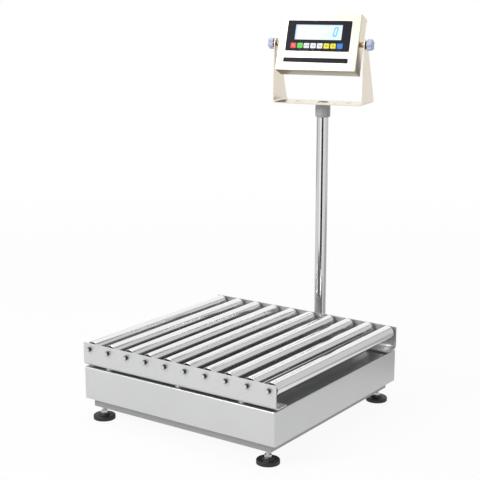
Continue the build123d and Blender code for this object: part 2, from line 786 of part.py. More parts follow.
gland_places = ((gland_spread / 2, gland_level), (-gland_spread / 2, gland_level))
with BuildPart() as back:
    with BuildSketch(panel.offset(-housing_depth)):
        RectangleRounded(housing_width, housing_height, housing_edge_radius)
        with back_screw_positions():
            Circle(back_screw_diameter / 2 + bolt_clearance, mode=Mode.SUBTRACT)
        with Locations(*gland_places):
            Circle(gland_thread / 2 + seat_clearance, mode=Mode.SUBTRACT)
    extrude(amount=-housing_sheet)
save(back, "housing_back")

# Screws that hold the back, each with a thick round head that it can rest on
with BuildPart() as back_screws:
    with BuildSketch(panel.offset(-housing_depth - housing_sheet)):
        with back_screw_positions():
            Circle(back_head_diameter / 2)
    extrude(amount=-back_head_height)
    with BuildSketch(panel.offset(-housing_depth - housing_sheet)):
        with back_screw_positions():
            Circle(back_screw_diameter / 2)
    extrude(amount=back_screw_length)
save(back_screws, "back_screws")

# Cable glands: nut inside the back, hexagon and domed cap outside
with BuildPart() as glands:
    outside = panel.offset(-housing_depth - housing_sheet)
    with BuildSketch(outside):
        with Locations(*gland_places):
            RegularPolygon(gland_hex / 2, 6, major_radius=False)
    extrude(amount=-gland_hex_length)
    with BuildSketch(outside.offset(-gland_hex_length)):
        with Locations(*gland_places):
            Circle(gland_hex / 2 - 1)
    extrude(amount=-gland_cap_length, taper=12)
    with BuildSketch(outside):
        with Locations(*gland_places):
            Circle(gland_thread / 2)
    extrude(amount=housing_sheet + gland_nut_length)
    with BuildSketch(panel.offset(-housing_depth)):
        with Locations(*gland_places):
            RegularPolygon(gland_hex / 2, 6, major_radius=False)
    extrude(amount=gland_nut_length)
    with BuildSketch(outside.offset(-gland_hex_length - gland_cap_length)):
        with Locations(*gland_places):
            Circle(gland_bore / 2)
    extrude(amount=2 * gland_cap_length + gland_hex_length, mode=Mode.SUBTRACT)
save(glands, "cable_glands")

# Printed films on the front: one around the display and keys, one below
key_places = [(key_row[0] + (index - (key_count - 1) / 2) * key_pitch, key_row[1]) for index in range(key_count)]
with BuildPart() as films:
    with BuildSketch(panel):
        with Locations(overlay_centre):
            RectangleRounded(overlay_width, overlay_height, overlay_corner)
        with Locations(strip_centre):
            RectangleRounded(strip_width, strip_height, overlay_corner)
        with Locations(window_centre):
            Rectangle(window_width, window_height, mode=Mode.SUBTRACT)
        with Locations(*key_places):
            key_gap = 2 * key_clearance
            RectangleRounded(key_width + key_gap, key_height + key_gap, key_corner, mode=Mode.SUBTRACT)
    extrude(amount=overlay_thickness)
save(films, "panel_films")

with BuildPart() as window:
    with BuildSketch(panel):
        with Locations(window_centre):
            Rectangle(window_width - 2 * seat_clearance, window_height - 2 * seat_clearance)
    extrude(amount=window_thickness)
save(window, "display_window")


def build_key(place):
    """One panel key; it stands clear of the housing by a little more than its travel."""
    with BuildPart() as key:
        with BuildSketch(panel.offset(key_travel + running_clearance)):
            with Locations(place):
                RectangleRounded(key_width, key_height, key_corner)
        extrude(amount=key_thickness)
        chamfer(key.faces().sort_by(depth_axis)[-1].edges(), key_edge)
    return key


for index, place in enumerate(key_places):
    save(build_key(place), f"panel_key_{index + 1}")

# Bushes on the housing's sides, each with the stud that its knob screws on to
with BuildPart() as bushes:
    side = housing_width / 2
    ear_inside = bracket_width / 2 - bracket_sheet
    stud_end = bracket_width / 2 + seat_clearance + washer_thickness + knob_hole_depth - 1
    for way in (-1, 1):
        rings = (
            (side, ear_inside - seat_clearance - side, bush_diameter),
            (side - bush_nut_length - housing_sheet, bush_nut_length, bush_nut_diameter),
            (side - bush_nut_length - housing_sheet, bush_nut_length + housing_sheet, bush_thread),
            (side, stud_end - side, pivot_diameter),
        )
        for start, length, diameter in rings:
            with BuildSketch(pivot_plane.offset(way * start)):
                Circle(diameter / 2)
            extrude(amount=way * length)
save(bushes, "pivot_bushes")


def build_knob(way):
    """Lobed knob and the washer behind it; way is -1 at the left and 1 at the right."""
    washer_start = bracket_width / 2 + seat_clearance
    knob_start = washer_start + washer_thickness + seat_clearance
    lobe_place = knob_diameter / 2 - knob_lobe_radius
    first_lobe = knob_rest_angle if way > 0 else knob_rest_angle + 180 / knob_lobe_count
    with BuildPart() as knob:
        with BuildSketch(pivot_plane.offset(way * knob_start)):
            Circle(knob_valley_diameter / 2)
            with PolarLocations(lobe_place, knob_lobe_count, start_angle=first_lobe):
                Circle(knob_lobe_radius)
        extrude(amount=way * knob_length)
        chamfer(knob.faces().sort_by(Axis(pivot_point, across * way))[-1].edges(), knob_edge)
        with BuildSketch(pivot_plane.offset(way * knob_start)):
            Circle(pivot_diameter / 2 + running_clearance)
        extrude(amount=way * knob_hole_depth, mode=Mode.SUBTRACT)
        with BuildSketch(pivot_plane.offset(way * washer_start)):
            Circle(washer_diameter / 2)
            Circle(pivot_diameter / 2 + running_clearance, mode=Mode.SUBTRACT)
        extrude(amount=way * washer_thickness)
    return knob


save(build_knob(-1), "tilt_knob_left")
save(build_knob(1), "tilt_knob_right")
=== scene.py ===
import json
import math

import bmesh
import bpy
from mathutils import Matrix, Vector


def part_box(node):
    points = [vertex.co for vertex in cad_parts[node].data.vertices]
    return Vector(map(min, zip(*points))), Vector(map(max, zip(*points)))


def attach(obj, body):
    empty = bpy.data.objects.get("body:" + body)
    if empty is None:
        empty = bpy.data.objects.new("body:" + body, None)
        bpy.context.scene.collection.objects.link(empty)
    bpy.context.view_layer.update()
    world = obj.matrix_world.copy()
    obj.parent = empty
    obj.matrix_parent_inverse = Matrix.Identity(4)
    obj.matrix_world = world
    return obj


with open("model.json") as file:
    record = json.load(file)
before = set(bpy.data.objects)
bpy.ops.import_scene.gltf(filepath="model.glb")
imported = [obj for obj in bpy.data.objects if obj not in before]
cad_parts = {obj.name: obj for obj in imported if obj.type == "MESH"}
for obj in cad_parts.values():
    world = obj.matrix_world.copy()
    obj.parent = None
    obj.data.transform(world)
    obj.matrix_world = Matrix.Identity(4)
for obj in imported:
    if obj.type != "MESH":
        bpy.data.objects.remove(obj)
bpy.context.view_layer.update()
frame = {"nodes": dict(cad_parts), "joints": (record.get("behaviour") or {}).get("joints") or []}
nodes = frame["nodes"]
scene = bpy.context.scene
mm = 0.001
print("frame loaded with", len(nodes), "nodes")

# The indicator's own directions: across its width, out of its face and up its face
jointAt = {joint["name"]: joint for joint in frame["joints"]}
across = Vector(jointAt["housing_tilt"]["axis"]).normalized()
facing = -Vector(jointAt["key_1_press"]["axis"]).normalized()
upward = facing.cross(across).normalized()
pivot = Vector(jointAt["housing_tilt"]["pos_m"])


def reach(nodeName, direction, start=pivot):
    # lowest and highest distance of a node's points along a direction
    spots = [(vertex.co - start).dot(direction) for vertex in nodes[nodeName].data.vertices]
    return min(spots), max(spots)


sheetFront = reach("panel_films", facing)[0]
panelMiddle = pivot + facing * sheetFront


def onPanel(right, up, out):
    # a place on the indicator's face, in millimetres from its middle
    return panelMiddle + (across * right + upward * up + facing * out) * mm


# Camera, fitted to the corners of the platform, the column and the indicator
view = {"place": (1.76764, -2.51981, 1.14322), "elevation": 12.2461, "azimuth": 35.2226, "lens": 88.5}
cameraData = bpy.data.cameras.new("photoCamera")
cameraData.lens = view["lens"]
cameraData.sensor_width = 36.0
cameraData.clip_start = 0.05
cameraData.clip_end = 60.0
camera = bpy.data.objects.new("photoCamera", cameraData)
camera.location = view["place"]
camera.rotation_euler = (math.radians(90 - view["elevation"]), 0, math.radians(view["azimuth"]))
scene.collection.objects.link(camera)
scene.camera = camera
scene.view_settings.view_transform = "Standard"
print("camera set")


class Wire:
    # one output of a material's node; arithmetic on it adds Math nodes
    def __init__(self, paint, socket):
        self.paint = paint
        self.socket = socket

    def math(self, operation, other=None, turned=False, clamp=False):
        values = {0: self} if other is None else ({0: other, 1: self} if turned else {0: self, 1: other})
        return self.paint.add("ShaderNodeMath", {"operation": operation, "use_clamp": clamp}, values)

    def __add__(self, other):
        return self.math("ADD", other)

    def __radd__(self, other):
        return self.math("ADD", other, True)

    def __sub__(self, other):
        return self.math("SUBTRACT", other)

    def __rsub__(self, other):
        return self.math("SUBTRACT", other, True)

    def __mul__(self, other):
        return self.math("MULTIPLY", other)

    def __rmul__(self, other):
        return self.math("MULTIPLY", other, True)

    def __truediv__(self, other):
        return self.math("DIVIDE", other)

    def __pow__(self, other):
        return self.math("POWER", other)

    def __gt__(self, other):
        return self.math("GREATER_THAN", other)

    def __lt__(self, other):
        return self.math("LESS_THAN", other)

    def __abs__(self):
        return self.math("ABSOLUTE")

    def smooth(self, low, high):
        # 0 below low, 1 above high, and a soft step between
        values = {"Value": self, "From Min": low, "From Max": high, "To Min": 0.0, "To Max": 1.0}
        return self.paint.add("ShaderNodeMapRange", {"interpolation_type": "SMOOTHSTEP"}, values)

    def along(self, direction):
        values = {0: self, 1: tuple(direction)}
        return self.paint.add("ShaderNodeVectorMath", {"operation": "DOT_PRODUCT"}, values, "Value")


class Paint:
    # one material: a Principled shader and the nodes that feed it
    def __init__(self, name, colour, metallic=0.0, roughness=0.5, **extra):
        self.material = bpy.data.materials.new(name)
        self.material.use_nodes = True
        self.tree = self.material.node_tree
        self.tree.nodes.clear()
        self.shader = self.tree.nodes.new("ShaderNodeBsdfPrincipled")
        self.output = self.tree.nodes.new("ShaderNodeOutputMaterial")
        self.tree.links.new(self.shader.outputs[0], self.output.inputs["Surface"])
        self.set("Base Color", (*colour, 1.0))
        self.set("Metallic", metallic)
        self.set("Roughness", roughness)
        for socket, value in extra.items():
            self.set(socket.replace("_", " "), value)
        self.place = self.add("ShaderNodeTexCoord", {}, {}, "Object")
        self.normal = self.add("ShaderNodeNewGeometry", {}, {}, "Normal")

    def add(self, kind, settings, inputs, output=0):
        node = self.tree.nodes.new(kind)
        for name, value in settings.items():
            if name == "stops":
                self.fillRamp(node.color_ramp, value)
            else:
                setattr(node, name, value)
        for key, value in inputs.items():
            self.plug(node.inputs[key], value)
        return Wire(self, node.outputs[output])

    def fillRamp(self, ramp, stops):
        while len(ramp.elements) < len(stops):
            ramp.elements.new(0.5)
        for element, (position, colour) in zip(ramp.elements, stops):
            element.position = position
            element.color = (*colour, 1.0)

    def plug(self, socket, value):
        if isinstance(value, Wire):
            self.tree.links.new(value.socket, socket)
        else:
            socket.default_value = value

    def set(self, socket, value):
        self.plug(self.shader.inputs[socket], value)

    def split(self, vector, axis):
        return self.add("ShaderNodeSeparateXYZ", {}, {0: vector}, axis)

    def join(self, x, y, z):
        return self.add("ShaderNodeCombineXYZ", {}, {0: x, 1: y, 2: z})

    def stretched(self, x, y, z, vector=None):
        settings = {"vector_type": "POINT"}
        return self.add("ShaderNodeMapping", settings, {"Vector": vector or self.place, "Scale": (x, y, z)})

    def noise(self, vector, scale=1.0, detail=2.0, roughness=0.5):
        values = {"Vector": vector, "Scale": scale, "Detail": detail, "Roughness": roughness}
        return self.add("ShaderNodeTexNoise", {}, values)

    def mix(self, factor, first, second):
        first = first if isinstance(first, Wire) else (*first, 1.0)
        second = second if isinstance(second, Wire) else (*second, 1.0)
        return self.add("ShaderNodeMix", {"data_type": "RGBA"}, {0: factor, 6: first, 7: second}, 2)

    def shade(self, factor, colour, spread):
        # the colour, darker and lighter by spread as the factor goes from 0 to 1
        dark = [channel * (1 - spread) for channel in colour]
        light = [min(1.0, channel * (1 + spread)) for channel in colour]
        self.set("Base Color", self.mix(factor, dark, light))

    def bump(self, height, strength, distance):
        values = {"Height": height, "Strength": strength, "Distance": distance}
        self.set("Normal", self.add("ShaderNodeBump", {}, values))

    def glow(self, colour, strength):
        self.set("Emission Color", colour)
        self.set("Emission Strength", strength)


def rectangular(paint, grainX, grainY, grainZ):
    # brushing that runs level round the sides of a box and along X on its top
    sideways = abs(paint.split(paint.normal, "X")) > 0.6
    level = paint.noise(paint.stretched(grainX, grainY, grainZ), 1.0, 3.0, 0.6)
    turned = paint.noise(paint.stretched(grainY, grainX, grainZ), 1.0, 3.0, 0.6)
    return sideways * turned + (1.0 - sideways) * level


# Sheet steel of the cover and the rails; the cover's top under the rollers is smoother and has painted shade, a
# darker colour
satin = {"colour": (0.60, 0.605, 0.61), "roughness": 0.36, "grain": (14.0, 1400.0, 1400.0), "under": (0.30, 0.302, 0.306)}
satinSteel = Paint("satinSteel", satin["colour"], 0.6, satin["roughness"])
satinGrain = rectangular(satinSteel, *satin["grain"])
satinCloud = satinSteel.noise(satinSteel.place, 5.0, 3.0, 0.5)
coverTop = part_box("platform_cover")[1].z
satinZ = satinSteel.split(satinSteel.place, "Z")
facesUp = satinSteel.split(satinSteel.normal, "Z").smooth(0.8, 0.95)
# painted shade: where the cover's top lies under the rollers its colour is painted darker
underDeckShade = facesUp * (satinZ < coverTop + 0.5 * mm)
satinMix = satinGrain * 0.45 + satinCloud * 0.55
satinLit = satinSteel.mix(satinMix, (0.56, 0.563, 0.567), (0.68, 0.683, 0.687))
satinShade = satinSteel.mix(satinMix, (0.26, 0.262, 0.266), (0.36, 0.362, 0.366))
satinSteel.set("Base Color", satinSteel.mix(underDeckShade, satinLit, satinShade))
satinSteel.set("Roughness", (0.27 + satinGrain * 0.14 + satinCloud * 0.08) * (1.0 - underDeckShade * 0.55))
satinSteel.bump(satinGrain, 0.12, 0.0001)

# Polished tubes of the rollers, with fine rings round them from polishing
roller = {"colour": (0.70, 0.703, 0.706), "roughness": 0.11, "rings": 900.0}
rollerSteel = Paint("rollerSteel", roller["colour"], 1.0, roller["roughness"])
rollerRings = rollerSteel.noise(rollerSteel.stretched(3.0, roller["rings"], 3.0), 1.0, 3.0, 0.6)
rollerWear = rollerSteel.noise(rollerSteel.stretched(30.0, 7.0, 30.0), 1.0, 3.0, 0.55)
rollerSteel.shade(rollerRings * 0.4 + rollerWear * 0.6, roller["colour"], 0.05)
rollerSteel.set("Roughness", 0.08 + rollerRings * 0.05 + rollerWear * 0.05)
rollerSteel.bump(rollerRings, 0.012, 0.0001)

firstRoller = jointAt["roller_01_spin"]["pos_m"]
rollerCount = sum(1 for name in jointAt if name.startswith("roller_"))
pitch = (jointAt[f"roller_{rollerCount:02d}_spin"]["pos_m"][0] - firstRoller[0]) / (rollerCount - 1)


def fromNearestAxle(paint):
    # distance from the nearest roller's axis, in metres
    sideways = (((paint.split(paint.place, "X") - firstRoller[0]) / pitch + 0.5).math("FRACT") - 0.5) * pitch
    above = paint.split(paint.place, "Z") - firstRoller[2]
    return (sideways * sideways + above * above).math("SQRT")


# Bearings in the rollers' ends: a bright hub, and round it painted shade of the recess, a near-black non-metal ring
bearing = {"hub": (0.70, 0.705, 0.715), "recessShade": (0.014, 0.014, 0.015), "hubRadius": 10.2 * mm}
bearingSteel = Paint("bearingSteel", bearing["hub"], 1.0, 0.24)
bearingMarks = bearingSteel.noise(bearingSteel.place, 160.0, 4.0, 0.6)
# painted shade: beyond the hub's radius the bearing is painted near black
inRecessShade = fromNearestAxle(bearingSteel) > bearing["hubRadius"]
hubColour = bearingSteel.mix(bearingMarks, (0.60, 0.605, 0.615), (0.80, 0.805, 0.815))
recessShadeColour = bearingSteel.mix(bearingMarks, (0.010, 0.010, 0.011), (0.022, 0.022, 0.023))
bearingSteel.set("Base Color", bearingSteel.mix(inRecessShade, hubColour, recessShadeColour))
bearingSteel.set("Metallic", 1.0 - inRecessShade)
bearingSteel.set("Roughness", 0.18 + bearingMarks * 0.16 + inRecessShade * 0.3)
bearingSteel.bump(bearingMarks, 0.1, 0.0002)

# Axles with turned end faces; their round sides have painted shade, a near-black colour
axle = {"face": (0.62, 0.625, 0.64), "sideShade": (0.03, 0.03, 0.032), "ring": 9000.0}
axleSteel = Paint("axleSteel", axle["face"], 1.0, 0.28)
turning = (fromNearestAxle(axleSteel) * axle["ring"]).math("SINE") * 0.5 + 0.5
axleMarks = axleSteel.noise(axleSteel.stretched(90.0, 500.0, 90.0), 1.0, 3.0, 0.6)
isFace = abs(axleSteel.split(axleSteel.normal, "Y")).smooth(0.55, 0.85)
axleFace = axleSteel.mix(turning * 0.5 + axleMarks * 0.5, (0.52, 0.525, 0.54), (0.72, 0.725, 0.735))
# painted shade: the axle's round sides are painted near black and less metallic
axleSideShade = axleSteel.mix(axleMarks, (0.02, 0.02, 0.021), (0.05, 0.05, 0.052))
axleSteel.set("Base Color", axleSteel.mix(isFace, axleSideShade, axleFace))
axleSteel.set("Metallic", 0.3 + isFace * 0.6)
axleSteel.set("Roughness", 0.2 + axleMarks * 0.18 + (1.0 - isFace) * 0.12)
axleSteel.bump(turning * 0.6 + axleMarks * 0.4, 0.15, 0.0001)

# Welded frame: dull grey steel with soft clouds from the mill
frameFinish = {"colour": (0.34, 0.342, 0.346), "roughness": 0.45}
frameSteel = Paint("frameSteel", frameFinish["colour"], 0.55, frameFinish["roughness"])
frameCloud = frameSteel.noise(frameSteel.place, 9.0, 4.0, 0.6)
frameGrain = rectangular(frameSteel, 20.0, 700.0, 700.0)
frameSteel.shade(frameCloud * 0.6 + frameGrain * 0.4, frameFinish["colour"], 0.12)
frameSteel.set("Roughness", 0.36 + frameCloud * 0.18)
frameSteel.bump(frameGrain * 0.5 + frameCloud * 0.5, 0.15, 0.0002)

# Machined aluminium of the load cell and its spacers
alloy = {"colour": (0.70, 0.705, 0.72)}
cellAlloy = Paint("cellAlloy", alloy["colour"], 1.0, 0.34)
milling = cellAlloy.noise(cellAlloy.stretched(900.0, 20.0, 900.0), 1.0, 2.0, 0.5)
cellAlloy.shade(milling, alloy["colour"], 0.08)
cellAlloy.set("Roughness", 0.28 + milling * 0.14)
cellAlloy.bump(milling, 0.15, 0.0001)

# Zinc plated bolts, nuts and spacers
zinc = {"colour": (0.88, 0.885, 0.90), "warm": (0.80, 0.80, 0.77)}
fastenerZinc = Paint("fastenerZinc", zinc["colour"], 0.7, 0.26)
zincCloud = fastenerZinc.noise(fastenerZinc.place, 120.0, 4.0, 0.6)
fastenerZinc.set("Base Color", fastenerZinc.mix(zincCloud, zinc["warm"], zinc["colour"]))
fastenerZinc.set("Roughness", 0.18 + zincCloud * 0.2)
fastenerZinc.bump(zincCloud, 0.08, 0.0002)

# Rubber pads under the cover
rubber = {"colour": (0.022, 0.022, 0.024)}
padRubber = Paint("padRubber", rubber["colour"], 0.0, 0.8)
rubberGrain = padRubber.noise(padRubber.place, 900.0, 3.0, 0.6)
padRubber.shade(rubberGrain, rubber["colour"], 0.3)
padRubber.set("Roughness", 0.7 + rubberGrain * 0.2)
padRubber.bump(rubberGrain, 0.3, 0.0002)

# Levelling feet: black moulded pad below, bright hexagon and threaded stud above
foot = {"black": (0.011, 0.011, 0.012), "steel": (0.66, 0.665, 0.67), "split": 15.0 * mm, "thread": 23.0 * mm}
footPlastic = Paint("footPlastic", foot["black"], 0.0, 0.5)
footZ = footPlastic.split(footPlastic.place, "Z")
isSteel = footZ > foot["split"] + 0.0001
moulded = footPlastic.noise(footPlastic.place, 500.0, 3.0, 0.6)
blackPart = footPlastic.mix(moulded, (0.008, 0.008, 0.009), (0.02, 0.02, 0.021))
steelPart = footPlastic.mix(moulded, (0.58, 0.585, 0.59), foot["steel"])
footPlastic.set("Base Color", footPlastic.mix(isSteel, blackPart, steelPart))
footPlastic.set("Metallic", isSteel * 1.0)
footPlastic.set("Roughness", isSteel * (0.22 + moulded * 0.1) + (1.0 - isSteel) * (0.42 + moulded * 0.2))
threadWave = (footZ * (2 * math.pi / (1.5 * mm))).math("SINE") * (footZ > foot["thread"])
footPlastic.bump(threadWave * 0.8 + moulded * 0.25, 0.5, 0.0004)

# Drawn and polished column
columnFinish = {"colour": (0.60, 0.603, 0.608), "roughness": 0.12}
columnSteel = Paint("columnSteel", columnFinish["colour"], 1.0, columnFinish["roughness"])
drawn = columnSteel.noise(columnSteel.stretched(700.0, 700.0, 5.0), 1.0, 3.0, 0.6)
columnSteel.shade(drawn, columnFinish["colour"], 0.05)
columnSteel.set("Roughness", 0.09 + drawn * 0.08)
columnSteel.bump(drawn, 0.06, 0.0001)

# Grey moulded cap on the column
capFinish = {"colour": (0.40, 0.402, 0.406)}
capPlastic = Paint("capPlastic", capFinish["colour"], 0.0, 0.42)
capGrain = capPlastic.noise(capPlastic.place, 700.0, 3.0, 0.6)
capPlastic.shade(capGrain, capFinish["colour"], 0.07)
capPlastic.set("Roughness", 0.36 + capGrain * 0.14)
capPlastic.bump(capGrain, 0.12, 0.0002)

# Warm brushed stainless of the indicator and its bracket, brushed across
warm = {"colour": (0.66, 0.605, 0.50), "roughness": 0.27}
indicatorSteel = Paint("indicatorSteel", warm["colour"], 1.0, warm["roughness"])
alongWidth = indicatorSteel.place.along(across)
alongHeight = indicatorSteel.place.along(upward)
alongDepth = indicatorSteel.place.along(facing)
onEar = abs(indicatorSteel.normal.along(across)) > 0.7
brushPlace = indicatorSteel.join(alongWidth * 16.0, alongHeight * 1500.0, alongDepth * 1500.0)
earPlace = indicatorSteel.join(alongWidth * 1500.0, alongHeight * 20.0, alongDepth * 1500.0)
brushing = indicatorSteel.noise(brushPlace, 1.0, 3.0, 0.65)
earBrushing = indicatorSteel.noise(earPlace, 1.0, 3.0, 0.65)
warmBrush = onEar * earBrushing + (1.0 - onEar) * brushing
warmCloud = indicatorSteel.noise(indicatorSteel.place, 14.0, 3.0, 0.5)
indicatorSteel.shade(warmBrush * 0.6 + warmCloud * 0.4, warm["colour"], 0.16)
indicatorSteel.set("Roughness", 0.2 + warmBrush * 0.16 + warmCloud * 0.05)
indicatorSteel.bump(warmBrush, 0.22, 0.0001)

# Black cable glands
gland = {"colour": (0.016, 0.016, 0.017)}
glandPlastic = Paint("glandPlastic", gland["colour"], 0.0, 0.45)
glandGrain = glandPlastic.noise(glandPlastic.place, 600.0, 3.0, 0.6)
glandPlastic.shade(glandGrain, gland["colour"], 0.25)
glandPlastic.set("Roughness", 0.4 + glandGrain * 0.15)
glandPlastic.bump(glandGrain, 0.15, 0.0002)

# Printed black film over the indicator's face
film = {"colour": (0.013, 0.013, 0.024)}
filmBlack = Paint("filmBlack", film["colour"], 0.0, 0.34, Specular_IOR_Level=0.12)
filmGrain = filmBlack.noise(filmBlack.place, 1500.0, 2.0, 0.5)
filmBlack.shade(filmGrain, film["colour"], 0.2)
filmBlack.set("Roughness", 0.28 + filmGrain * 0.14)
filmBlack.bump(filmGrain, 0.08, 0.0001)

# Backlit display: white to pale cyan, with painted shade of the bezel as a bluer edge at the left and the top
display = {"white": (0.96, 1.0, 1.0), "cyan": (0.66, 0.95, 0.98), "blue": (0.34, 0.60, 0.98), "strength": 0.93}
displayGlass = Paint("displayGlass", (0.05, 0.055, 0.06), 0.0, 0.12)
windowWide = reach("display_window", across)
windowTall = reach("display_window", upward)
fromPivotAcross = displayGlass.place.along(across) - pivot.dot(across)
fromPivotUp = displayGlass.place.along(upward) - pivot.dot(upward)
rightward = fromPivotAcross.smooth(windowWide[0] * 0.6 + windowWide[1] * 0.4, windowWide[1])
# painted shade of the bezel: the glow turns bluer towards the left and top edges
leftBezelShade = 1.0 - fromPivotAcross.smooth(windowWide[0], windowWide[0] + 7 * mm)
topBezelShade = fromPivotUp.smooth(windowTall[1] - 5 * mm, windowTall[1])
cells = displayGlass.noise(displayGlass.place, 60.0, 2.0, 0.5)
displayTint = displayGlass.mix(rightward * (0.4 + 0.4 * cells), display["white"], display["cyan"])
bezelShadeTint = (leftBezelShade + topBezelShade * 0.7).math("MINIMUM", 1.0) * (0.45 + 0.35 * cells)
displayGlass.glow(displayGlass.mix(bezelShadeTint, displayTint, display["blue"]), display["strength"])
displayGlass.set("Roughness", 0.08 + cells * 0.08)

# Brass bushes that the indicator turns on
brass = {"colour": (0.50, 0.38, 0.19)}
bushBrass = Paint("bushBrass", brass["colour"], 1.0, 0.3)
brassMarks = bushBrass.noise(bushBrass.place, 300.0, 3.0, 0.6)
bushBrass.shade(brassMarks, brass["colour"], 0.2)
bushBrass.set("Roughness", 0.22 + brassMarks * 0.2)
bushBrass.bump(brassMarks, 0.12, 0.0002)

# Pale blue moulded knobs with a black washer under each
knob = {"colour": (0.50, 0.55, 0.78), "washer": (0.012, 0.012, 0.013)}
washerEnd = 4.6 * mm
knobInner = abs(reach("tilt_knob_right", across)[0])
knobPlastic = Paint("knobPlastic", knob["colour"], 0.0, 0.42)
outFromPivot = abs(knobPlastic.place.along(across) - pivot.dot(across))
isWasher = outFromPivot < knobInner + washerEnd
knobGrain = knobPlastic.noise(knobPlastic.place, 500.0, 3.0, 0.6)
knobBody = knobPlastic.mix(knobGrain, (0.45, 0.50, 0.73), (0.56, 0.61, 0.82))
knobPlastic.set("Base Color", knobPlastic.mix(isWasher, knobBody, knob["washer"]))
knobPlastic.set("Roughness", 0.36 + knobGrain * 0.16)
knobPlastic.bump(knobGrain, 0.12, 0.0002)

# Moulded keys, each with a soft sheen and a slight random grain of its own colour
keyColours = {
    "key_red": (0.88, 0.045, 0.012),
    "key_green": (0.11, 0.74, 0.05),
    "key_white": (0.88, 0.88, 0.90),
    "key_yellow": (0.90, 0.80, 0.01),
    "key_blue": (0.015, 0.22, 0.80),
}
keyPaints = {}
for keyName, keyColour in keyColours.items():
    keyPaint = Paint(keyName.replace("key_", "keyCap"), keyColour, 0.0, 0.3)
    keyGrain = keyPaint.noise(keyPaint.place, 800.0, 2.0, 0.5)
    keyPaint.shade(keyGrain, keyColour, 0.08)
    keyPaint.set("Roughness", 0.26 + keyGrain * 0.12)
    keyPaint.bump(keyGrain, 0.06, 0.0001)
    keyPaints[keyName] = keyPaint
print("materials made")

paintOfSlot = {
    "satin_steel": satinSteel,
    "roller_steel": rollerSteel,
    "bearing_steel": bearingSteel,
    "axle_steel": axleSteel,
    "frame_steel": frameSteel,
    "cell_alloy": cellAlloy,
    "fastener_zinc": fastenerZinc,
    "pad_rubber": padRubber,
    "foot_plastic": footPlastic,
    "column_steel": columnSteel,
    "cap_plastic": capPlastic,
    "indicator_steel": indicatorSteel,
    "gland_plastic": glandPlastic,
    "film_black": filmBlack,
    "display_glass": displayGlass,
    "bush_brass": bushBrass,
    "knob_plastic": knobPlastic,
    **keyPaints,
}


def slotOf(node):
    names = [slot.material.name for slot in node.material_slots if slot.material]
    return next((slot for slot in paintOfSlot if any(name.startswith(slot) for name in names)), None)


for nodeName, node in nodes.items():
    slot = slotOf(node)
    if slot is None:
        print("no slot for", nodeName, [held.material.name for held in node.material_slots if held.material])
        continue
    for held in node.material_slots:
        held.material = paintOfSlot[slot].material
print("materials assigned")


def makePiece(name, shape, material, body):
    # a finished bmesh becomes an object at the origin that rides on a body
    bmesh.ops.remove_doubles(shape, verts=shape.verts, dist=1e-7)
    bmesh.ops.recalc_face_normals(shape, faces=shape.faces)
    mesh = bpy.data.meshes.new(name)
    shape.to_mesh(mesh)
    shape.free()
    piece = bpy.data.objects.new(name, mesh)
    piece.data.materials.append(material)
    scene.collection.objects.link(piece)
    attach(piece, body)
    return piece


def panelMatrix(right, up, out, turn=0.0, lean=0.0):
    # puts a flat shape that was made round the origin on the indicator's face
    axes = Matrix((across, upward, facing)).transposed().to_4x4()
    slant = Matrix.Identity(4)
    slant[0][1] = math.tan(math.radians(lean))
    place = Matrix.Translation(onPanel(right, up, out)) @ axes @ slant
    return place, Matrix.Rotation(math.radians(turn), 4, "Z")


def addBar(shape, length, width, thick, place, pointed=0.0):
    # one flat bar, with pointed ends if asked, moved to its place
    made = bmesh.ops.create_cube(shape, size=1.0)["verts"]
    bmesh.ops.scale(shape, verts=made, vec=(length * mm, width * mm, thick * mm))
    if pointed:
        uprights = [
            edge
            for edge in {edge for vertex in made for edge in vertex.link_edges}
            if abs(edge.verts[0].co.z - edge.verts[1].co.z) > thick * mm * 0.9
        ]
        cut = bmesh.ops.bevel(
            shape,
            geom=uprights,
            offset=width * mm * pointed,
            affect="EDGES",
            segments=1,
            profile=0.5,
            material=-1,
        )
        made = list({vertex for face in cut["faces"] for vertex in face.verts} | set(v for v in made if v.is_valid))
    bmesh.ops.transform(shape, matrix=place, verts=made)


# The lit digit on the display, seven segments of which the middle one is dark
digit = {"left": 40.4, "right": 56.0, "bottom": 15.4, "top": 43.4, "stroke": 3.5, "gap": 0.5, "lean": 9.0}
glassTop = (reach("display_window", facing)[1] - sheetFront) / mm
digitHigh = digit["top"] - digit["bottom"] - digit["stroke"]
digitWide = digit["right"] - digit["left"] - digit["stroke"] - digitHigh * math.tan(math.radians(digit["lean"])) * 0.9
segments = [
    (0.0, 0.5, 0.0, digitWide),
    (0.0, -0.5, 0.0, digitWide),
    (-0.5, 0.25, 90.0, digitHigh / 2),
    (0.5, 0.25, 90.0, digitHigh / 2),
    (-0.5, -0.25, 90.0, digitHigh / 2),
    (0.5, -0.25, 90.0, digitHigh / 2),
]
digitShape = bmesh.new()
digitPlace, digitTurn = panelMatrix(
    (digit["left"] + digit["right"]) / 2,
    (digit["top"] + digit["bottom"]) / 2,
    glassTop + 0.02,
    0.0,
    digit["lean"],
)
for rightward, upwards, turn, length in segments:
    seat = Matrix.Translation((rightward * digitWide * mm, upwards * digitHigh * mm, 0))
    spin = Matrix.Rotation(math.radians(turn), 4, "Z")
    barLength = length - digit["gap"]
    addBar(digitShape, barLength + digit["stroke"] * 0.5, digit["stroke"], 0.06, digitPlace @ seat @ spin, 0.45)
digitInk = Paint("digitInk", (0.06, 0.30, 0.85), 0.0, 0.3)
inkCloud = digitInk.noise(digitInk.place, 400.0, 2.0, 0.5)
digitInk.set("Base Color", digitInk.mix(inkCloud, (0.04, 0.22, 0.80), (0.10, 0.38, 0.95)))
digitInk.glow(digitInk.mix(inkCloud, (0.05, 0.26, 0.90), (0.12, 0.42, 1.0)), 0.75)
makePiece("display_digit", digitShape, digitInk.material, "housing")
print("display digit made")

